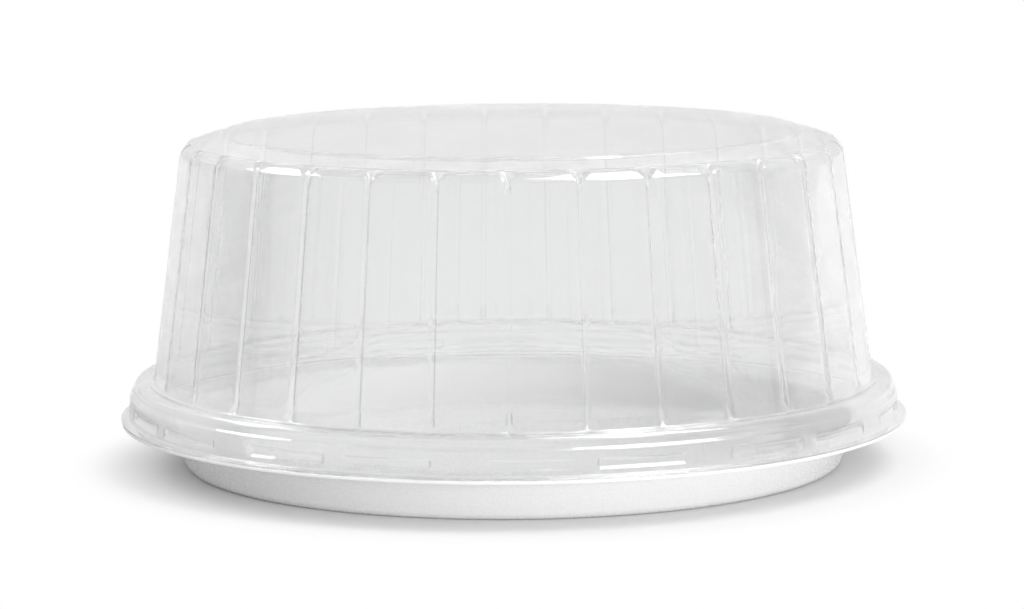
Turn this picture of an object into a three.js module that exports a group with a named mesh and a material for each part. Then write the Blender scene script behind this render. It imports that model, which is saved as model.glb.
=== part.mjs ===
// Round cake container: a clear formed dome lid with fluted walls, standing on a white formed tray.
// Millimetres, +Z up, with the origin on the ground under the centre of the tray.
import * as THREE from "three";

// Tray
const trayWall = 0.7;
const dishFootRadius = 120.6; // inside of the dish, where its wall would meet the floor
const dishTopRadius = 125.2; // inside of the dish, where its wall would meet the flange
const dishDepth = 17.2; // from the floor up to the flange
const footBend = 3.0; // inside radius between the floor and the wall
const flangeBend = 2.5;
const rimRadius = 144.6; // outer edge of the flat flange
const rimDrop = 1.0; // the flange's edge is turned down by this much
const rimBend = 0.8;
const traySegments = 72;
const trayArcSteps = 4;

// Fit of the lid on the tray
const seatGap = 0.3; // between the flange and the lid's lip, which rests on it
const lipOverhang = 0.4; // how far the lip reaches past the tray's rim

// Lid, upwards from the lip
const lidWall = 0.6;
const lugHeight = 4.0;
const lugDepth = 1.0;
const lugSlope = 0.3; // height of the slanted ledge above and below each lug
const lugPairs = 10;
const lugAngle = 13.2; // degrees that one lug spans
const lugGapAngle = 2.6; // degrees between the two lugs of a pair
const lugPairStart = 10.1; // degrees from the front to the first gap between two lugs
const skirtTopRise = 3.0; // from the top of the lugs to the rounded step above them
const skirtTaper = 0.8; // how much narrower the skirt is at that step
const lipDrop = 2.7; // from the underside of the lugs to the lip's cut edge
const lipFlare = 2.7; // width of the nearly flat lip that stands out of the skirt
const lipTurn = 0.5; // the cut edge of the sheet faces down and out by this much
const lipFall = 0.6; // how much lower the lip's edge is than its root at the skirt
const beadDrop = 4.9; // from the crest of the flange bead down to the rounded step
const beadOuterInset = 1.3; // inset of the bead's outer curve from the step
const beadOuterRise = 1.6;
const beadCrestInset = 5.5; // inset of the bead's crest from the step
const beadCrestWidth = 2.4;
const footInset = 8.0; // inset of the groove at the foot of the wall from the step
const footDip = 0.8; // depth of that groove below the bead's crest
const footFilletHeight = 4.6;
const footFilletWidth = 1.2;
const wallHeight = 77.9;
const wallLean = 10.3; // how much the wall leans in over its height
const shoulderHeight = 6.2;
const shoulderWidth = 5.5;
const discRise = 1.0; // the top disc stands this far above the ring around it
const discEdgeWidth = 1.1;
const ringWidth = 9.2; // the flat ring between the disc and the shoulder
const ringFall = 1.6;

// Flutes: wide panels parted by narrow grooves
const fluteCount = 31;
const fluteStart = -0.65; // degrees from the front to the nearest groove
const grooveDepth = 0.8;
const grooveWidth = 3.0;

const plainColumns = 72;
const shoulderSteps = 3;

const degrees = Math.PI / 180;

// Levels and radii that follow from the sizes above
const flangeTop = trayWall + dishDepth;
const lipLevel = flangeTop + seatGap;
const lugBottom = lipLevel + lipDrop;
const lugTop = lugBottom + lugHeight;
const skirtTop = lugTop + skirtTopRise;
const beadCrest = skirtTop + beadDrop;
const footLevel = beadCrest - footDip;
const wallBottom = footLevel + footFilletHeight;
const wallTop = wallBottom + wallHeight;
const ringLevel = wallTop + shoulderHeight;
const topLevel = ringLevel + ringFall + discRise;
const lipRadius = rimRadius + lipOverhang;
const skirtRadius = lipRadius - lipFlare;
const stepRadius = skirtRadius - skirtTaper;
const footRadius = stepRadius - footInset;
const wallBottomRadius = footRadius - footFilletWidth;
const wallTopRadius = wallBottomRadius - wallLean;
const shoulderRadius = wallTopRadius - shoulderWidth;
const discRadius = shoulderRadius - ringWidth - discEdgeWidth;

// A path of straight lines through corners [radius, height, bend], with an arc of that bend at each.
function roundedPath(corners, arcSteps) {
  const path = [];
  corners.forEach(([r, z, bend], i) => {
    const here = new THREE.Vector2(r, z);
    if (!bend) {
      path.push(here);
      return;
    }
    const back = new THREE.Vector2(corners[i - 1][0], corners[i - 1][1]).sub(here).normalize();
    const ahead = new THREE.Vector2(corners[i + 1][0], corners[i + 1][1]).sub(here).normalize();
    const half = Math.acos(back.dot(ahead)) / 2;
    const centre = here.clone().addScaledVector(back.clone().add(ahead).normalize(), bend / Math.sin(half));
    const start = here.clone().addScaledVector(back, bend / Math.tan(half)).sub(centre);
    const turn = Math.sign(back.cross(ahead)) * (Math.PI - 2 * half);
    for (let step = 0; step <= arcSteps; step += 1) {
      const angle = (-turn * step) / arcSteps;
      path.push(start.clone().rotateAround(new THREE.Vector2(), angle).add(centre));
    }
  });
  return path;
}

// The direction that points out of the sheet at each point of a path that runs outwards from the axis,
// lengthened at a bend so that a path moved along it keeps its distance.
function outwardNormals(path) {
  return path.map((point, i) => {
    const before = point.clone().sub(path[Math.max(i - 1, 0)]);
    const after = path[Math.min(i + 1, path.length - 1)].clone().sub(point);
    const first = (i > 0 ? before : after).normalize();
    const second = (i < path.length - 1 ? after : before).normalize();
    const normal = new THREE.Vector2(-first.y - second.y, first.x + second.x).normalize();
    return normal.divideScalar(normal.dot(new THREE.Vector2(-first.y, first.x)));
  });
}

// The tray: one sheet with a flat floor, a leaning wall and a flat flange with a turned-down edge.
function makeTray() {
  const upper = roundedPath(
    [
      [0, trayWall],
      [dishFootRadius, trayWall, footBend],
      [dishTopRadius, flangeTop, flangeBend],
      [rimRadius, flangeTop, rimBend],
      [rimRadius, flangeTop - rimDrop],
    ],
    trayArcSteps,
  );
  const normals = outwardNormals(upper);
  const lower = upper.map((point, i) => point.clone().addScaledVector(normals[i], -trayWall));
  lower[0].x = 0;
  const geometry = new THREE.LatheGeometry([...lower, ...upper.reverse()], traySegments);
  geometry.rotateX(Math.PI / 2);
  return geometry;
}

// Columns are the angles of a ring's vertices, in degrees from the front, each with how much of the
// groove or lug it takes. A plain ring is round.
function plainRingColumns() {
  return Array.from({ length: plainColumns }, (_, k) => ({ angle: (360 / plainColumns) * k, weight: 0 }));
}

// Each flute: the bottom of its groove, the groove's edge, the middle of the panel and its far edge.
function fluteColumns() {
  const pitch = 360 / fluteCount;
  const edge = grooveWidth / 2 / wallTopRadius / degrees;
  return Array.from({ length: fluteCount }, (_, k) => [
    { angle: fluteStart + pitch * k, weight: 1 },
    { angle: fluteStart + pitch * k + edge, weight: 0 },
    { angle: fluteStart + pitch * (k + 0.5), weight: 0 },
    { angle: fluteStart + pitch * (k + 1) - edge, weight: 0 },
  ]).flat();
}

// Two lugs to a pair, each with a short slope at both ends.
function lugColumns() {
  const slope = lugSlope / skirtRadius / degrees;
  const columns = [];
  for (let pair = 0; pair < lugPairs; pair += 1) {
    const gap = lugPairStart + (360 / lugPairs) * pair;
    for (const start of [gap - lugGapAngle / 2 - lugAngle, gap + lugGapAngle / 2]) {
      columns.push({ angle: start, weight: 0 });
      for (const share of [0, 1 / 3, 2 / 3, 1]) {
        columns.push({ angle: start + slope + (lugAngle - 2 * slope) * share, weight: 1 });
      }
      columns.push({ angle: start + lugAngle, weight: 0 });
    }
  }
  return columns
    .map(({ angle, weight }) => ({ angle: (angle + 360) % 360, weight }))
    .sort((a, b) => a.angle - b.angle);
}

// The lid's outside from the centre of the top down to the lip. groove and lug say how much of the
// groove's or the lug's depth a level takes.
function lidLevels() {
  const plain = plainRingColumns();
  const fluted = fluteColumns();
  const lugged = lugColumns();
  const level = (columns, r, z, groove = 0, lug = 0) => ({ columns, r, z, groove, lug });
  const levels = [
    level([{ angle: 0, weight: 0 }], 0, topLevel),
    level(plain, discRadius, topLevel),
    level(plain, discRadius + discEdgeWidth, topLevel - discRise),
    level(fluted, shoulderRadius, ringLevel),
  ];
  for (let step = 1; step <= shoulderSteps; step += 1) {
    const turn = (Math.PI / 2) * (step / shoulderSteps);
    const r = shoulderRadius + shoulderWidth * Math.sin(turn);
    levels.push(level(fluted, r, wallTop + shoulderHeight * Math.cos(turn), Math.sin(turn)));
  }
  const skirtAt = (z) => stepRadius + (skirtTaper * (skirtTop - z)) / (skirtTop - lugBottom);
  levels.push(
    level(fluted, wallBottomRadius, wallBottom, 1),
    level(fluted, footRadius, footLevel),
    level(plain, stepRadius - beadCrestInset, beadCrest),
    level(plain, stepRadius - beadCrestInset + beadCrestWidth, beadCrest),
    level(plain, stepRadius - beadOuterInset, skirtTop + beadOuterRise),
    level(plain, stepRadius, skirtTop),
    level(lugged, skirtAt(lugTop + lugSlope), lugTop + lugSlope),
    level(lugged, skirtAt(lugTop), lugTop, 0, 1),
    level(lugged, skirtAt(lugBottom + lugSlope), lugBottom + lugSlope, 0, 1),
    level(lugged, skirtAt(lugBottom), lugBottom),
    level(plain, skirtRadius, lipLevel + lipTurn + lipFall),
    level(plain, lipRadius, lipLevel + lipTurn),
  );
  return levels;
}

// The vertices of one level, moved inwards by its groove, its lug and a share of the sheet.
function lidRing({ columns, r, z, groove, lug }, normal, inset) {
  return columns.map(({ angle, weight }) => {
    const depth = inset + weight * groove * grooveDepth;
    const radius = Math.max(r - normal.x * depth - weight * lug * lugDepth, 0);
    const turn = angle * degrees;
    const at = new THREE.Vector3(radius * Math.sin(turn), -radius * Math.cos(turn), z - normal.y * depth);
    return { angle, at };
  });
}

// Triangles between two rings, which may have different numbers of vertices.
function stitch(from, to, triangles) {
  const angleAt = (ring, i) => ring[i % ring.length].angle + (i >= ring.length ? 360 : 0);
  const at = (ring, i) => ring[i % ring.length].at;
  const fromSteps = from.length > 1 ? from.length : 0;
  const toSteps = to.length > 1 ? to.length : 0;
  let i = 0;
  let j = 0;
  while (i < fromSteps || j < toSteps) {
    const advanceFrom = j >= toSteps || (i < fromSteps && angleAt(from, i + 1) <= angleAt(to, j + 1));
    if (advanceFrom) {
      triangles.push(at(from, i), at(to, j), at(from, i + 1));
      i += 1;
    } else {
      triangles.push(at(from, i), at(to, j), at(to, j + 1));
      j += 1;
    }
  }
}

// The lid: its outside from the top to the lip, then its inside back up to the top.
function makeLid() {
  const levels = lidLevels();
  const normals = outwardNormals(levels.map(({ r, z }) => new THREE.Vector2(r, z)));
  const outside = levels.map((one, i) => lidRing(one, normals[i], 0));
  const inside = levels.map((one, i) => lidRing(one, normals[i], lidWall));
  const chain = [...outside, ...inside.reverse()];
  const triangles = [];
  for (let i = 0; i < chain.length - 1; i += 1) {
    stitch(chain[i], chain[i + 1], triangles);
  }
  return new THREE.BufferGeometry().setFromPoints(triangles);
}

function named(name, geometry, material) {
  geometry.computeVertexNormals();
  const mesh = new THREE.Mesh(geometry, material);
  mesh.name = name;
  return mesh;
}

const whiteSheet = new THREE.MeshStandardMaterial({ color: 0xf4f4f2, roughness: 0.35, metalness: 0 });
const clearSheet = new THREE.MeshStandardMaterial({
  color: 0xe9edee,
  roughness: 0.08,
  metalness: 0,
  transparent: true,
  opacity: 0.25,
});

const container = new THREE.Group();
container.add(named("base_tray", makeTray(), whiteSheet), named("dome_lid", makeLid(), clearSheet));

export default container;
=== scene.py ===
"""Round cake container: a clear formed dome lid standing on a white formed tray, on a white studio floor."""

import math

import bpy
import numpy as np
from bpy.props import FloatProperty, FloatVectorProperty, IntProperty, PointerProperty
from mathutils import Matrix, Vector


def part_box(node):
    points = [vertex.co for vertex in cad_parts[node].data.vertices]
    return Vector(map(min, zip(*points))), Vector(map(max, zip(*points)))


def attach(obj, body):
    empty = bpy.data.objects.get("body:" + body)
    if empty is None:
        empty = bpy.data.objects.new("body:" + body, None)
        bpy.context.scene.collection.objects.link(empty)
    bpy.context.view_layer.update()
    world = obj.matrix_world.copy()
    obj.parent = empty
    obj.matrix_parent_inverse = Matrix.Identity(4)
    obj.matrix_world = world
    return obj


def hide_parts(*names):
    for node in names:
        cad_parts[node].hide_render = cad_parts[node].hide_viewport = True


bl_info = {
    "name": "Clear-Lidded Cake Container",
    "version": (1, 0, 0),
    "blender": (4, 5, 0),
    "location": "View3D > Sidebar > Cake Container",
    "description": "Makes a fluted clear dome lid, its white tray and a white studio around them",
    "category": "Object",
}

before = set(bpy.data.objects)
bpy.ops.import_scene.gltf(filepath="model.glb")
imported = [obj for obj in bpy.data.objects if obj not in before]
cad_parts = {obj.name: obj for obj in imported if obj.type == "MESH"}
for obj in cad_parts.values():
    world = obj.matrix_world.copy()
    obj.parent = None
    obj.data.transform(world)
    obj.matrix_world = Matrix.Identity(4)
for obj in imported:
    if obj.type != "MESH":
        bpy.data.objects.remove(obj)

MM = 0.001
LID_LOW, LID_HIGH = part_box("dome_lid")
TRAY_LOW, TRAY_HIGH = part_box("base_tray")

# How finely the meshes are divided
SHOULDER_SPACING = 1.3 * MM
FOOT_SPACING = 1.6 * MM
LUG_SPACING = 0.8 * MM
FINE_MARGIN = 1 * MM
FINE_BELOW_SHOULDER = 3 * MM
FINE_ABOVE_FOOT = 7 * MM
FLAT_INSIDE_DISC = 3 * MM
GROOVE_COLUMNS = 5
LUG_CROWDING = 3.2
LUG_CROWD_WIDTH = math.radians(0.55)
LUG_ANGLE_SAMPLES = 36001
LID_ARC_STEPS = 4
TRAY_ARC_STEPS = 10
TRAY_COLUMNS = 360
SHARP_ANGLE = math.radians(55)

# The studio, in metres
LID_AIM = (0, 0, 0.08)
TRAY_AIM = (0, 0, 0.02)
KEY_PLACE = (0.50, -0.33, 1.05)
KEY_SIZE = (0.62, 0.75)
LOW_PLACE = (0.9, -1.9, 0.28)
LOW_SIZE = (2.0, 0.5)
FILL_PLACE = (-0.85, 0.18, 0.83)
FILL_SIZE = (0.5, 0.4)
CAMERA_PLACE = (-0.0003, -1.450, 0.2583)
CAMERA_PITCH = math.radians(7.87)
CAMERA_ROLL = math.radians(-0.43)
BACKDROP_DIRECTION = (0.25, 0.97, 0)
FLOOR_HALF_WIDTH = 30.0
FLOOR_LIT_RADIUS = 0.12
FLOOR_WHITE_RADIUS = 0.168


def length(name, default_mm, description):
    """A length property whose default is given in millimetres."""
    return FloatProperty(
        name=name, description=description, default=default_mm * MM, unit="LENGTH", subtype="DISTANCE",
    )


def turn(name, default_degrees, description):
    """An angle property whose default is given in degrees."""
    return FloatProperty(
        name=name, description=description, default=math.radians(default_degrees), subtype="ANGLE",
    )


class LidSizes(bpy.types.PropertyGroup):
    """Sizes of the clear lid. Radii are measured from the axis, and levels from the ground."""

    lip_radius: length("Lip radius", LID_HIGH.x / MM, "Outer edge of the nearly flat lip")
    top_level: length("Top level", LID_HIGH.z / MM, "Height of the flat top disc")
    lip_level: length("Lip level", LID_LOW.z / MM, "Height of the lip's cut edge")
    wall: length("Sheet thickness", 0.6, "Thickness of the clear sheet")
    lip_flare: length("Lip width", 2.7, "How far the nearly flat lip stands out of the skirt")
    lip_turn: length("Lip turn", 0.5, "How far the lip's outer edge stands above its cut edge")
    lip_fall: length("Lip fall", 0.6, "How much lower the lip's edge is than its root at the skirt")
    lip_bend: length("Lip bend", 0.4, "Radius between the skirt and the lip")
    lug_rise: length("Lug rise", 2.7, "From the lip's cut edge up to the lugs")
    lug_height: length("Lug height", 4.0, "Height of a lug")
    lug_depth: length("Lug depth", 1.0, "How far the snap lugs are pressed in")
    lug_corner: length("Lug corner", 1.2, "Radius of a lug's corners, seen face on")
    lug_slope: length("Lug slope", 1.0, "Width of the slope around a lug")
    lug_pairs: IntProperty(
        name="Lug pairs", description="Number of pairs of snap lugs in the skirt", default=10, min=1,
    )
    lug_start: turn("Lug start", 10.1, "From the front to the first gap between two lugs")
    lug_gap: turn("Lug gap", 2.6, "Between the two lugs of a pair")
    lug_span: turn("Lug span", 13.2, "How far one lug reaches around the skirt")
    skirt_top_rise: length("Skirt top rise", 3.0, "From the top of the lugs to the step")
    skirt_taper: length("Skirt taper", 0.8, "How much narrower the skirt is at the step")
    step_width: length("Step width", 1.3, "Width of the ledge between the skirt and the bead")
    step_rise: length("Step rise", 1.0, "How far the step's inner corner stands above the step's level")
    step_fall: length("Step fall", 0.4, "How far the step's outer corner lies below the step's level")
    step_inner_bend: length("Step inner bend", 1.6, "Radius between the bead and the step")
    step_outer_bend: length("Step outer bend", 2.0, "Radius between the step and the skirt")
    bead_height: length("Bead height", 4.9, "From the step up to the crest of the bead")
    bead_bend: length("Bead bend", 3.2, "Radius of the bead's outer side")
    bead_inner_bend: length("Bead inner bend", 1.4, "Radius of the bead's inner side")
    bead_spread: length("Bead spread", 0.1, "How much wider the bead is at the step than at its crest")
    bead_width: length("Bead width", 4.7, "Width of the bead's crest before it is rounded")
    foot_inset: length("Foot inset", 8.0, "From the step in to the groove at the foot of the wall")
    foot_dip: length("Foot dip", 0.8, "Depth of that groove below the bead's crest")
    foot_rise: length("Foot rise", 4.6, "From that groove up to the straight wall")
    foot_slope: length("Foot slope", 1.2, "How far the wall's foot spreads out")
    foot_overshoot: length("Foot overshoot", 0.2, "How far that groove is drawn deeper before it is rounded")
    foot_bend: length("Foot bend", 1.2, "Radius of that groove")
    wall_foot_bend: length("Wall foot bend", 2.0, "Radius between the wall and its foot")
    wall_height: length("Wall height", 77.9, "Height of the straight wall")
    wall_lean: length("Wall lean", 10.3, "How far the wall leans in over its height")
    shoulder_rise: length("Shoulder rise", 2.2, "From the wall's top to the corner of the shoulder")
    shoulder_bend: length("Shoulder bend", 4.0, "Radius of the panels' shoulder")
    crease_rise: length("Crease rise", 5.9, "From the wall's top to the crease above the panels")
    crease_inset: length("Crease inset", 4.0, "From the wall's top in to the crease above the panels")
    crease_bend: length("Crease bend", 1.5, "Radius of the crease above the panels")
    disc_radius: length("Disc radius", 106.2, "Radius of the raised top disc")
    disc_rise: length("Disc rise", 1.0, "How far the disc stands above the ring around it")
    disc_edge: length("Disc edge", 1.1, "Width of the slope at the disc's edge")
    disc_bend: length("Disc bend", 1.3, "Radius of the disc's edge")
    ring_bend: length("Ring bend", 1.0, "Radius between the disc's edge and the ring around it")
    flutes: IntProperty(name="Flutes", description="Number of panels around the wall", default=31, min=3)
    flute_start: turn("Flute start", -0.65, "From the front to the nearest groove")
    groove_depth: length("Groove depth", 0.8, "How far the grooves lie behind the panels on the wall")
    crease_depth: length("Crease depth", 0.5, "How far the ring lies below the panels at their top edge")
    shoulder_depth: length("Shoulder depth", 2.6, "How deep a groove opens between two panels' top corners")
    foot_depth: length("Foot depth", 1.7, "How deep a groove opens between two panels' bottom corners")
    groove_floor: length("Groove floor", 0.2, "Width of a groove's floor between two panels")
    panel_edge: length("Panel edge", 1.4, "Width of the slope at a panel's edge")
    panel_corner: length("Panel corner", 4.6, "Radius of the panels' corners, seen face on")
    waviness: length("Waviness", 0.018, "Height of the sheet's slight unevenness")
    tint: FloatVectorProperty(
        name="Tint", description="Colour that the clear sheet gives to light", subtype="COLOR",
        size=3, min=0, max=1, default=(0.955, 0.96, 0.96),
    )


class TraySizes(bpy.types.PropertyGroup):
    """Sizes of the white tray."""

    rim_radius: length("Rim radius", TRAY_HIGH.x / MM, "Outer edge of the flange")
    rim_level: length("Rim level", TRAY_HIGH.z / MM, "Height of the flange")
    rim_drop: length("Rim drop", 1.0, "How far the flange's edge is turned down")
    rim_bend: length("Rim bend", 0.8, "Radius of the flange's edge")
    wall: length("Sheet thickness", 0.7, "Thickness of the white sheet")
    foot_radius: length("Foot radius", 120.6, "Inside of the dish where its wall would meet the floor")
    foot_bend: length("Foot bend", 3.0, "Radius between the floor and the wall")
    top_radius: length("Dish radius", 125.2, "Inside of the dish where its wall would meet the flange")
    top_bend: length("Top bend", 2.5, "Radius between the wall and the flange")
    grain: length("Grain", 0.005, "Height of the fine grain")
    colour: FloatVectorProperty(
        name="Colour", description="Colour of the white sheet", subtype="COLOR",
        size=3, min=0, max=1, default=(0.87, 0.87, 0.87),
    )


class StageLook(bpy.types.PropertyGroup):
    """Light and camera of the studio."""

    key_power: FloatProperty(name="Key power", description="Watts of the right softbox", default=5.8)
    fill_power: FloatProperty(name="Fill power", description="Watts of the left softbox", default=1.6)
    low_power: FloatProperty(name="Low power", description="Watts of the low front softbox", default=22.0)
    room_light: FloatProperty(name="Room light", description="Light from all around", default=0.6)
    front_gloss: FloatProperty(
        name="Front gloss", description="Brightness that glossy rays find towards the front", default=0.15,
    )
    focal_length: FloatProperty(name="Focal length", description="Camera lens in millimetres", default=139.1)


def rounded_path(corners, steps):
    """Points of a path through corners (radius, level, bend).

    At a corner whose bend is not zero the two straight lines are joined by an arc of that radius: its
    centre lies on the line that halves the corner, at bend / sin(half the corner's angle).
    """
    points = []
    for i, (r, z, bend) in enumerate(corners):
        here = np.array([r, z])
        if bend == 0:
            points.append(here)
            continue
        back = np.array(corners[i - 1][:2]) - here
        ahead = np.array(corners[i + 1][:2]) - here
        back /= np.linalg.norm(back)
        ahead /= np.linalg.norm(ahead)
        half = math.acos(np.clip(back @ ahead, -1, 1)) / 2
        centre = here + (back + ahead) / np.linalg.norm(back + ahead) * bend / math.sin(half)
        start = here + back * bend / math.tan(half) - centre
        turn = -np.sign(back[0] * ahead[1] - back[1] * ahead[0]) * (math.pi - 2 * half)
        angles = np.linspace(0, turn, steps + 1)
        points.extend(
            centre + np.array([start[0] * c - start[1] * s, start[0] * s + start[1] * c])
            for c, s in zip(np.cos(angles), np.sin(angles))
        )
    return np.array(points)


def refine(path, low, high, spacing):
    """The path with points added where its level lies between low and high, so that none is farther
    than spacing from the next."""
    points = [path[0]]
    for a, b in zip(path[:-1], path[1:]):
        inside = min(a[1], b[1]) < high and max(a[1], b[1]) > low
        parts = max(1, math.ceil(np.linalg.norm(b - a) / spacing)) if inside else 1
        points.extend(a + (b - a) * k / parts for k in range(1, parts + 1))
    return np.array(points)


def path_normals(path):
    """Unit normals on the left of a path that runs outwards from the axis, which is the outer side."""
    steps = np.diff(path, axis=0)
    steps /= np.linalg.norm(steps, axis=1)[:, None]
    before = np.vstack([steps[:1], steps])
    after = np.vstack([steps, steps[-1:]])
    normals = np.stack([-(before + after)[:, 1], (before + after)[:, 0]], axis=1)
    return normals / np.linalg.norm(normals, axis=1)[:, None]


def smooth(x):
    """0 below 0, 1 above 1, and 3x2 - 2x3 between."""
    x = np.clip(x, 0, 1)
    return x * x * (3 - 2 * x)


def rounded_box(x, y, corner):
    """Signed distance to a box whose sides are x = 0 and y = 0 and whose inside has both below 0, with
    its corner rounded: |max(q, 0)| + min(max(qx, qy), 0) - corner, where q is (x, y) + corner."""
    qx = x + corner
    qy = y + corner
    return np.hypot(np.maximum(qx, 0), np.maximum(qy, 0)) + np.minimum(np.maximum(qx, qy), 0) - corner


def grid_mesh(name, radius, level, angle, poles):
    """A closed mesh from a chain of rings.

    radius, level and angle are arrays with one row for each ring and one column for each place around
    it; a point is (radius sin angle, -radius cos angle, level). The first and last rings are single
    points on the axis, at the two levels in poles, and the rings between are joined by quads.
    """
    rings, columns = radius.shape
    points = np.stack([radius * np.sin(angle), -radius * np.cos(angle), level], axis=-1).reshape(-1, 3)
    points = np.vstack([points, [[0, 0, poles[0]], [0, 0, poles[1]]]])
    first, last = len(points) - 2, len(points) - 1
    ring = np.arange(rings - 1)[:, None] * columns
    here = np.arange(columns)[None, :]
    there = (here + 1) % columns
    quads = np.stack([ring + here, ring + columns + here, ring + columns + there, ring + there], axis=-1)
    quads = quads.reshape(-1, 4)
    column = np.arange(columns)
    following = (column + 1) % columns
    end = (rings - 1) * columns
    caps = np.vstack([
        np.stack([np.full(columns, first), column, following], axis=1),
        np.stack([end + column, np.full(columns, last), end + following], axis=1),
    ])
    mesh = bpy.data.meshes.new(name)
    mesh.vertices.add(len(points))
    mesh.vertices.foreach_set("co", points.ravel())
    mesh.loops.add(quads.size + caps.size)
    mesh.loops.foreach_set("vertex_index", np.concatenate([quads.ravel(), caps.ravel()]))
    mesh.polygons.add(len(quads) + len(caps))
    starts = np.concatenate([np.arange(len(quads)) * 4, quads.size + np.arange(len(caps)) * 3])
    mesh.polygons.foreach_set("loop_start", starts)
    mesh.update(calc_edges=True)
    mesh.validate()
    mesh.shade_smooth()
    return mesh


def add_piece(name, mesh, body, node, material):
    """Puts a finished mesh into the scene as the piece that stands for a node."""
    piece = bpy.data.objects.new(name, mesh)
    bpy.context.scene.collection.objects.link(piece)
    mesh.materials.append(material)
    shading = piece.modifiers.new("even shading", "WEIGHTED_NORMAL")
    shading.keep_sharp = True
    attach(piece, body)
    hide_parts(node)
    return piece


def flute_angles(sizes):
    """Angles of the lid's columns: the same places in each flute, close together in the groove."""
    pitch = 2 * math.pi / sizes.flutes
    reach = sizes.groove_floor / 2 + sizes.panel_edge
    edge = np.linspace(0, reach, GROOVE_COLUMNS)
    corner = np.linspace(reach, reach + sizes.panel_corner, GROOVE_COLUMNS)
    widths = np.append(edge, corner[1:])
    groove = widths / (sizes.disc_radius + sizes.lip_radius) * 2
    places = np.concatenate([groove, [pitch / 2], pitch - groove[:0:-1]])
    angles = np.arange(sizes.flutes)[:, None] * pitch + places[None, :]
    return angles.ravel() + sizes.flute_start


def lug_middles(sizes):
    """Angles of the middles of the lugs: two to a pair, parted by a small gap."""
    pairs = sizes.lug_start + 2 * math.pi / sizes.lug_pairs * np.arange(sizes.lug_pairs)
    offset = (sizes.lug_gap + sizes.lug_span) / 2
    return np.concatenate([pairs - offset, pairs + offset])


def turned_apart(angle, places):
    """Angle between each angle and the nearest of the places."""
    return np.abs((angle[..., None] - places + math.pi) % (2 * math.pi) - math.pi).min(axis=-1)


def lug_angles(sizes, count):
    """Angles of the columns at the level of the lugs, close together at each lug's two ends.

    They come from adding up a density of 1 + crowding * exp(-(angle from the nearest end / width)^2).
    """
    fine = np.linspace(0, 2 * math.pi, LUG_ANGLE_SAMPLES)
    middles = lug_middles(sizes)
    ends = np.concatenate([middles - sizes.lug_span / 2, middles + sizes.lug_span / 2])
    density = 1 + LUG_CROWDING * np.exp(-((turned_apart(fine, ends) / LUG_CROWD_WIDTH) ** 2))
    total = np.concatenate([[0], np.cumsum((density[1:] + density[:-1]) / 2)])
    return np.interp(np.arange(count) / count * total[-1], total, fine)


def lid_levels(sizes):
    """Levels of the lid's features, each worked out from the one below it."""
    levels = {"lug_low": sizes.lip_level + sizes.lug_rise}
    levels["lug_high"] = levels["lug_low"] + sizes.lug_height
    levels["step"] = levels["lug_high"] + sizes.skirt_top_rise
    levels["crest"] = levels["step"] + sizes.bead_height
    levels["foot"] = levels["crest"] - sizes.foot_dip
    levels["wall_low"] = levels["foot"] + sizes.foot_rise
    levels["wall_high"] = levels["wall_low"] + sizes.wall_height
    levels["shoulder"] = levels["wall_high"] + sizes.shoulder_rise
    levels["crease"] = levels["wall_high"] + sizes.crease_rise
    return levels


def lid_path(sizes, levels):
    """The lid's outer surface through the middle of a panel, from the top disc down to the lip."""
    skirt = sizes.lip_radius - sizes.lip_flare
    step = skirt - sizes.skirt_taper
    bead = step - sizes.step_width
    foot = step - sizes.foot_inset
    low = foot - sizes.foot_slope
    high = low - sizes.wall_lean
    shoulder = high - sizes.wall_lean * sizes.shoulder_rise / sizes.wall_height
    lip_rise = sizes.lip_level + sizes.lip_turn
    fine_top = levels["wall_high"] - FINE_BELOW_SHOULDER
    fine_foot = levels["wall_low"] + FINE_ABOVE_FOOT

    def wall_radius(level):
        return low - sizes.wall_lean * (level - levels["wall_low"]) / sizes.wall_height

    corners = [
        (sizes.disc_radius / 2, sizes.top_level, 0),
        (sizes.disc_radius - FLAT_INSIDE_DISC, sizes.top_level, 0),
        (sizes.disc_radius, sizes.top_level, sizes.disc_bend),
        (sizes.disc_radius + sizes.disc_edge, sizes.top_level - sizes.disc_rise, sizes.ring_bend),
        (high - sizes.crease_inset, levels["crease"], sizes.crease_bend),
        (shoulder, levels["shoulder"], sizes.shoulder_bend),
        (wall_radius(fine_top), fine_top, 0),
        (wall_radius(fine_foot), fine_foot, 0),
        (low, levels["wall_low"], sizes.wall_foot_bend),
        (foot, levels["foot"] - sizes.foot_overshoot, sizes.foot_bend),
        (bead - sizes.bead_width, levels["crest"], sizes.bead_inner_bend),
        (bead, levels["crest"], sizes.bead_bend),
        (bead + sizes.bead_spread, levels["step"] + sizes.step_rise, sizes.step_inner_bend),
        (step, levels["step"] - sizes.step_fall, sizes.step_outer_bend),
        (skirt, lip_rise + sizes.lip_fall, sizes.lip_bend),
        (sizes.lip_radius, lip_rise, 0),
    ]
    path = rounded_path(corners, LID_ARC_STEPS)
    path = refine(path, fine_top, levels["crease"] + FINE_MARGIN, SHOULDER_SPACING)
    path = refine(path, levels["foot"], fine_foot, FOOT_SPACING)
    return refine(path, levels["lug_low"] - FINE_MARGIN, levels["lug_high"] + FINE_MARGIN, LUG_SPACING)


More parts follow.
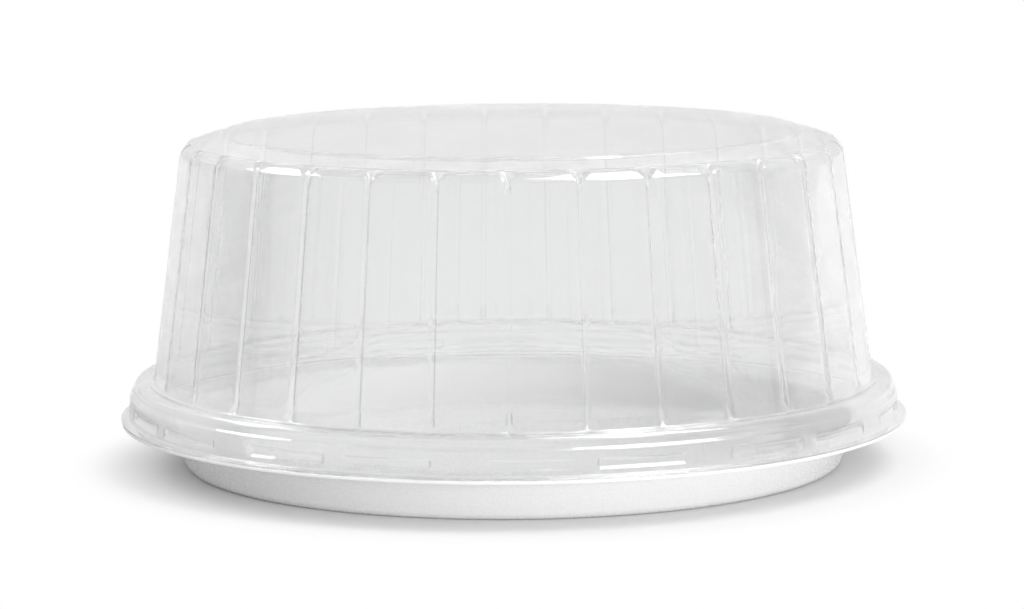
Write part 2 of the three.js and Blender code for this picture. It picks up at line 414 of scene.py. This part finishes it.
def groove_sink(sizes, levels, path, angle):
    """How far each point lies behind the panels' surface: depth * (1 - panel mask).

    The depth is 0 on the ring above the crease and at the foot, deepest one corner radius below the
    crease and above the foot, and even on the wall. The panel mask is 1 on a panel and falls to 0 over
    its edge, which is a box with rounded corners in the distance from the nearest groove and the
    distance along the path.
    """
    along = np.concatenate([[0], np.cumsum(np.linalg.norm(np.diff(path, axis=0), axis=1))])
    foot = np.argmax(np.diff(path[:, 1]) > 0)
    crease = np.interp(-levels["crease"], -path[:foot, 1], along[:foot])
    corner = sizes.panel_corner
    places = [crease - corner, crease, crease + corner, crease + 2 * corner]
    places += [along[foot] - 2 * corner, along[foot] - corner, along[foot]]
    wall, top, bottom = sizes.groove_depth, sizes.shoulder_depth, sizes.foot_depth
    depth = np.interp(along, places, [0, sizes.crease_depth, top, wall, wall, bottom, 0])
    pitch = 2 * math.pi / sizes.flutes
    from_groove = np.abs((angle - sizes.flute_start + pitch / 2) % pitch - pitch / 2) * path[:, :1]
    side = sizes.groove_floor / 2 - from_groove
    above = (crease - along)[:, None]
    below = (along - along[foot])[:, None]
    outside = np.maximum(rounded_box(side, above, corner), rounded_box(side, below, corner))
    return depth[:, None] * (1 - smooth(-outside / sizes.panel_edge))


def lug_sink(sizes, levels, path, angle):
    """How far each point is pressed in by a lug: lug depth * smooth slope inside a rounded rectangle."""
    across = (turned_apart(angle, lug_middles(sizes)) - sizes.lug_span / 2) * path[:, :1]
    middle = (levels["lug_low"] + levels["lug_high"]) / 2
    upright = np.abs(path[:, 1:] - middle) - sizes.lug_height / 2
    mask = smooth(-rounded_box(across, upright, sizes.lug_corner) / sizes.lug_slope)
    return sizes.lug_depth * mask * (path[:, :1] > sizes.lip_radius - 2 * sizes.foot_inset)


def make_lid_mesh(sizes):
    """The clear sheet: an outer surface, the same surface set in by the sheet's thickness, and the cut
    edge of the lip between them.

    Outer point = path point - path normal * groove sink - lug sink towards the axis. The columns follow
    the flutes above the bead and the lugs below it, and change over smoothly across the bead.
    """
    levels = lid_levels(sizes)
    path = lid_path(sizes, levels)
    normals = path_normals(path)
    flutes = flute_angles(sizes)
    lugs = lug_angles(sizes, len(flutes))
    change = smooth((levels["crest"] - path[:, 1:]) / sizes.bead_height)
    change *= path[:, :1] > sizes.lip_radius - 2 * sizes.foot_inset
    angle = flutes[None, :] * (1 - change) + lugs[None, :] * change
    groove = groove_sink(sizes, levels, path, angle)
    lug = lug_sink(sizes, levels, path, angle)

    def surface(inset):
        radius = path[:, :1] - normals[:, :1] * (groove + inset) - lug
        level = path[:, 1:] - normals[:, 1:] * (groove + inset)
        return radius, level

    outer_radius, outer_level = surface(0)
    inner_radius, inner_level = surface(sizes.wall)
    radius = np.vstack([outer_radius, inner_radius[::-1]])
    level = np.vstack([outer_level, inner_level[::-1]])
    angles = np.vstack([angle, angle[::-1]])
    mesh = grid_mesh("dome", radius, level, angles, (sizes.top_level, sizes.top_level - sizes.wall))
    mesh.set_sharp_from_angle(angle=SHARP_ANGLE)
    return mesh


def make_tray_mesh(sizes):
    """The white sheet: its upper surface turned round the axis, the same path moved down by the sheet's
    thickness, and the cut edge between them."""
    corners = [
        (sizes.foot_radius / 3, sizes.wall, 0),
        (sizes.foot_radius, sizes.wall, sizes.foot_bend),
        (sizes.top_radius, sizes.rim_level, sizes.top_bend),
        (sizes.rim_radius, sizes.rim_level, sizes.rim_bend),
        (sizes.rim_radius, sizes.rim_level - sizes.rim_drop, 0),
    ]
    upper = rounded_path(corners, TRAY_ARC_STEPS)
    lower = upper - path_normals(upper) * sizes.wall
    chain = np.vstack([upper, lower[::-1]])
    ones = np.ones((1, TRAY_COLUMNS))
    angle = np.linspace(0, 2 * math.pi, TRAY_COLUMNS, endpoint=False) * np.ones((len(chain), 1))
    mesh = grid_mesh("tray", chain[:, :1] * ones, chain[:, 1:] * ones, angle, (sizes.wall, 0))
    mesh.set_sharp_from_angle(angle=SHARP_ANGLE)
    return mesh


def waviness_group():
    """Slight unevenness of a formed sheet: broad soft waves with a finer ripple on top, as a height."""
    group = bpy.data.node_groups.get("sheet_waviness")
    if group:
        return group
    group = bpy.data.node_groups.new("sheet_waviness", "ShaderNodeTree")
    face = group.interface
    defaults = {"Broad Scale": 12.0, "Fine Scale": 90.0, "Fine Share": 0.2, "Smoothness": 0.03}
    for label, value in defaults.items():
        face.new_socket(label, in_out="INPUT", socket_type="NodeSocketFloat").default_value = value
    face.new_socket("Height", in_out="OUTPUT", socket_type="NodeSocketFloat")
    face.new_socket("Roughness", in_out="OUTPUT", socket_type="NodeSocketFloat")
    nodes, links = group.nodes, group.links
    inputs = nodes.new("NodeGroupInput")
    outputs = nodes.new("NodeGroupOutput")
    place = nodes.new("ShaderNodeTexCoord")
    broad = nodes.new("ShaderNodeTexNoise")
    fine = nodes.new("ShaderNodeTexNoise")
    share = nodes.new("ShaderNodeMath")
    total = nodes.new("ShaderNodeMath")
    rough = nodes.new("ShaderNodeMath")
    share.operation = "MULTIPLY"
    total.operation = "ADD"
    rough.operation = "MULTIPLY"
    broad.inputs["Detail"].default_value = 1.0
    fine.inputs["Detail"].default_value = 3.0
    links.new(place.outputs["Object"], broad.inputs["Vector"])
    links.new(place.outputs["Object"], fine.inputs["Vector"])
    links.new(inputs.outputs["Broad Scale"], broad.inputs["Scale"])
    links.new(inputs.outputs["Fine Scale"], fine.inputs["Scale"])
    links.new(fine.outputs["Fac"], share.inputs[0])
    links.new(inputs.outputs["Fine Share"], share.inputs[1])
    links.new(broad.outputs["Fac"], total.inputs[0])
    links.new(share.outputs[0], total.inputs[1])
    links.new(total.outputs[0], outputs.inputs["Height"])
    links.new(fine.outputs["Fac"], rough.inputs[0])
    links.new(inputs.outputs["Smoothness"], rough.inputs[1])
    links.new(rough.outputs[0], outputs.inputs["Roughness"])
    return group


def new_material(name):
    """An empty node material and its nodes and links."""
    material = bpy.data.materials.new(name)
    material.use_nodes = True
    material.node_tree.nodes.clear()
    return material, material.node_tree.nodes, material.node_tree.links


def add_waviness(nodes, links, shader, values, depth):
    """Puts the sheet's unevenness on a shader's normal and roughness."""
    waves = nodes.new("ShaderNodeGroup")
    waves.node_tree = waviness_group()
    for label, value in values.items():
        waves.inputs[label].default_value = value
    bump = nodes.new("ShaderNodeBump")
    bump.inputs["Distance"].default_value = depth
    links.new(waves.outputs["Height"], bump.inputs["Height"])
    links.new(bump.outputs["Normal"], shader.inputs["Normal"])
    links.new(waves.outputs["Roughness"], shader.inputs["Roughness"])


def clear_sheet(sizes):
    """Crystal-clear plastic: full transmission, a faint grey tint and a slightly wavy surface. Its index,
    alpha and coat are chosen for the look, so that edges and grooves draw soft lines, and aren't the
    plastic's own values. Shadow rays pass straight through, so that the lamps light what stands under
    the lid."""
    material, nodes, links = new_material("clear_sheet")
    shader = nodes.new("ShaderNodeBsdfPrincipled")
    shader.inputs["Base Color"].default_value = (*sizes.tint, 1)
    shader.inputs["Transmission Weight"].default_value = 1.0
    shader.inputs["IOR"].default_value = 1.4
    shader.inputs["Alpha"].default_value = 0.66
    shader.inputs["Coat Weight"].default_value = 1.0
    shader.inputs["Coat IOR"].default_value = 1.9
    shader.inputs["Coat Roughness"].default_value = 0.02
    values = {"Broad Scale": 14.0, "Fine Scale": 120.0, "Fine Share": 0.04, "Smoothness": 0.03}
    add_waviness(nodes, links, shader, values, sizes.waviness)
    pass_through = nodes.new("ShaderNodeBsdfTransparent")
    pass_through.inputs["Color"].default_value = (1, 1, 1, 1)
    rays = nodes.new("ShaderNodeLightPath")
    mix = nodes.new("ShaderNodeMixShader")
    output = nodes.new("ShaderNodeOutputMaterial")
    links.new(rays.outputs["Is Shadow Ray"], mix.inputs["Fac"])
    links.new(shader.outputs["BSDF"], mix.inputs[1])
    links.new(pass_through.outputs["BSDF"], mix.inputs[2])
    links.new(mix.outputs["Shader"], output.inputs["Surface"])
    return material


def white_sheet(sizes):
    """Glossy white plastic with a fine grain and a faint broad unevenness."""
    material, nodes, links = new_material("white_sheet")
    shader = nodes.new("ShaderNodeBsdfPrincipled")
    shader.inputs["Base Color"].default_value = (*sizes.colour, 1)
    shader.inputs["IOR"].default_value = 1.5
    values = {"Broad Scale": 20.0, "Fine Scale": 1600.0, "Fine Share": 0.3, "Smoothness": 0.55}
    add_waviness(nodes, links, shader, values, sizes.grain)
    output = nodes.new("ShaderNodeOutputMaterial")
    links.new(shader.outputs["BSDF"], output.inputs["Surface"])
    return material


def backdrop_fade(nodes, links, direction, look):
    """How bright glossy rays find each direction: white behind the container and a little to its right,
    and darker towards the other sides, as in a studio with one lit backdrop. It is 1 for other rays."""
    towards = nodes.new("ShaderNodeVectorMath")
    towards.operation = "DOT_PRODUCT"
    towards.inputs[1].default_value = BACKDROP_DIRECTION
    fade = nodes.new("ShaderNodeMapRange")
    fade.inputs["From Min"].default_value = -0.1
    fade.inputs["From Max"].default_value = 0.85
    fade.inputs["To Min"].default_value = look.front_gloss
    fade.inputs["To Max"].default_value = 1.0
    rays = nodes.new("ShaderNodeLightPath")
    chosen = nodes.new("ShaderNodeMix")
    chosen.inputs["A"].default_value = 1.0
    links.new(direction, towards.inputs[0])
    links.new(towards.outputs["Value"], fade.inputs["Value"])
    links.new(rays.outputs["Is Glossy Ray"], chosen.inputs["Factor"])
    links.new(fade.outputs["Result"], chosen.inputs["B"])
    return chosen.outputs["Result"]


def floor_material(look):
    """White floor that keeps the shadow: near the container it is lit, and farther out it turns into plain
    white light for the rays that see it."""
    material, nodes, links = new_material("white_floor")
    lit = nodes.new("ShaderNodeBsdfDiffuse")
    lit.inputs["Color"].default_value = (0.9, 0.9, 0.9, 1)
    glow = nodes.new("ShaderNodeEmission")
    place = nodes.new("ShaderNodeTexCoord")
    outwards = nodes.new("ShaderNodeVectorMath")
    outwards.operation = "NORMALIZE"
    links.new(place.outputs["Object"], outwards.inputs[0])
    brightness = backdrop_fade(nodes, links, outwards.outputs["Vector"], look)
    links.new(brightness, glow.inputs["Strength"])
    far = nodes.new("ShaderNodeVectorMath")
    far.operation = "LENGTH"
    ramp = nodes.new("ShaderNodeMapRange")
    ramp.interpolation_type = "SMOOTHSTEP"
    ramp.inputs["From Min"].default_value = FLOOR_LIT_RADIUS
    ramp.inputs["From Max"].default_value = FLOOR_WHITE_RADIUS
    ramp.inputs["To Min"].default_value = 0.0
    ramp.inputs["To Max"].default_value = 1.0
    rays = nodes.new("ShaderNodeLightPath")
    seen = nodes.new("ShaderNodeMath")
    seen.operation = "ADD"
    seen_too = nodes.new("ShaderNodeMath")
    seen_too.operation = "ADD"
    seen_too.use_clamp = True
    share = nodes.new("ShaderNodeMath")
    share.operation = "MULTIPLY"
    mix = nodes.new("ShaderNodeMixShader")
    output = nodes.new("ShaderNodeOutputMaterial")
    links.new(place.outputs["Object"], far.inputs[0])
    links.new(far.outputs["Value"], ramp.inputs["Value"])
    links.new(rays.outputs["Is Camera Ray"], seen.inputs[0])
    links.new(rays.outputs["Is Glossy Ray"], seen.inputs[1])
    links.new(seen.outputs[0], seen_too.inputs[0])
    links.new(rays.outputs["Is Transmission Ray"], seen_too.inputs[1])
    links.new(seen_too.outputs[0], share.inputs[0])
    links.new(ramp.outputs["Result"], share.inputs[1])
    links.new(share.outputs[0], mix.inputs["Fac"])
    links.new(lit.outputs["BSDF"], mix.inputs[1])
    links.new(glow.outputs["Emission"], mix.inputs[2])
    links.new(mix.outputs["Shader"], output.inputs["Surface"])
    return material


def studio_world(look):
    """White for the camera's rays, white fading to dark for glossy rays, and even room light for diffuse
    ones."""
    world = bpy.data.worlds.new("studio")
    bpy.context.scene.world = world
    world.use_nodes = True
    nodes, links = world.node_tree.nodes, world.node_tree.links
    nodes.clear()
    rays = nodes.new("ShaderNodeLightPath")
    place = nodes.new("ShaderNodeTexCoord")
    brightness = backdrop_fade(nodes, links, place.outputs["Generated"], look)
    strength = nodes.new("ShaderNodeMix")
    strength.inputs["B"].default_value = look.room_light
    background = nodes.new("ShaderNodeBackground")
    output = nodes.new("ShaderNodeOutputWorld")
    links.new(rays.outputs["Is Diffuse Ray"], strength.inputs["Factor"])
    links.new(brightness, strength.inputs["A"])
    links.new(strength.outputs["Result"], background.inputs["Strength"])
    links.new(background.outputs["Background"], output.inputs["Surface"])


def softbox(name, place, target, size, power):
    """A rectangular lamp at a place, turned towards a target."""
    lamp = bpy.data.lights.new(name, "AREA")
    lamp.shape = "RECTANGLE"
    lamp.size, lamp.size_y = size
    lamp.energy = power
    holder = bpy.data.objects.new(name, lamp)
    holder.location = place
    holder.rotation_euler = (Vector(target) - Vector(place)).to_track_quat("-Z", "Y").to_euler()
    bpy.context.scene.collection.objects.link(holder)
    return holder


def add_camera(look):
    """The photograph's view: low, from the front, a little tilted so that the right side sits higher."""
    camera = bpy.data.cameras.new("camera")
    camera.lens = look.focal_length
    camera.sensor_width = 36.0
    camera.clip_end = 100
    holder = bpy.data.objects.new("camera", camera)
    holder.matrix_world = (
        Matrix.Translation(CAMERA_PLACE)
        @ Matrix.Rotation(math.pi / 2 - CAMERA_PITCH, 4, "X")
        @ Matrix.Rotation(CAMERA_ROLL, 4, "Z")
    )
    bpy.context.scene.collection.objects.link(holder)
    bpy.context.scene.camera = holder


class CAKE_OT_lid(bpy.types.Operator):
    """Make the clear dome lid"""

    bl_idname = "cake.lid"
    bl_label = "Dome Lid"

    def execute(self, context):
        sizes = context.scene.cake_lid
        add_piece("clear_dome", make_lid_mesh(sizes), "lid", "dome_lid", clear_sheet(sizes))
        return {"FINISHED"}


class CAKE_OT_tray(bpy.types.Operator):
    """Make the white tray"""

    bl_idname = "cake.tray"
    bl_label = "Tray"

    def execute(self, context):
        sizes = context.scene.cake_tray
        add_piece("white_tray", make_tray_mesh(sizes), "tray", "base_tray", white_sheet(sizes))
        return {"FINISHED"}


class CAKE_OT_stage(bpy.types.Operator):
    """Make the floor, the light and the camera"""

    bl_idname = "cake.stage"
    bl_label = "Studio"

    def execute(self, context):
        look = context.scene.cake_stage
        half = FLOOR_HALF_WIDTH
        mesh = bpy.data.meshes.new("floor")
        corners = [(-half, -half, 0), (half, -half, 0), (half, half, 0), (-half, half, 0)]
        mesh.from_pydata(corners, [], [(0, 1, 2, 3)])
        mesh.materials.append(floor_material(look))
        floor = bpy.data.objects.new("floor", mesh)
        context.scene.collection.objects.link(floor)
        studio_world(look)
        softbox("key_softbox", KEY_PLACE, LID_AIM, KEY_SIZE, look.key_power)
        low = softbox("low_softbox", LOW_PLACE, TRAY_AIM, LOW_SIZE, look.low_power)
        low.visible_glossy = False
        low.visible_transmission = False
        softbox("fill_softbox", FILL_PLACE, LID_AIM, FILL_SIZE, look.fill_power)
        add_camera(look)
        context.scene.view_settings.view_transform = "Standard"
        return {"FINISHED"}


class CAKE_PT_panel(bpy.types.Panel):
    """Sizes and steps of the cake container"""

    bl_label = "Cake Container"
    bl_space_type = "VIEW_3D"
    bl_region_type = "UI"
    bl_category = "Cake Container"

    def draw(self, context):
        layout = self.layout
        for group in (context.scene.cake_lid, context.scene.cake_tray, context.scene.cake_stage):
            box = layout.box()
            for name in group.bl_rna.properties.keys():
                if name not in ("rna_type", "name"):
                    box.prop(group, name)
        for operator in (CAKE_OT_lid, CAKE_OT_tray, CAKE_OT_stage):
            layout.operator(operator.bl_idname)


CLASSES = (LidSizes, TraySizes, StageLook, CAKE_OT_lid, CAKE_OT_tray, CAKE_OT_stage, CAKE_PT_panel)


def register():
    for cls in CLASSES:
        bpy.utils.register_class(cls)
    bpy.types.Scene.cake_lid = PointerProperty(type=LidSizes)
    bpy.types.Scene.cake_tray = PointerProperty(type=TraySizes)
    bpy.types.Scene.cake_stage = PointerProperty(type=StageLook)


def unregister():
    del bpy.types.Scene.cake_lid
    del bpy.types.Scene.cake_tray
    del bpy.types.Scene.cake_stage
    for cls in reversed(CLASSES):
        bpy.utils.unregister_class(cls)


def main():
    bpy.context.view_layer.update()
    register()
    bpy.ops.cake.stage()
    bpy.ops.cake.tray()
    bpy.ops.cake.lid()


if __name__ == "__main__":
    main()
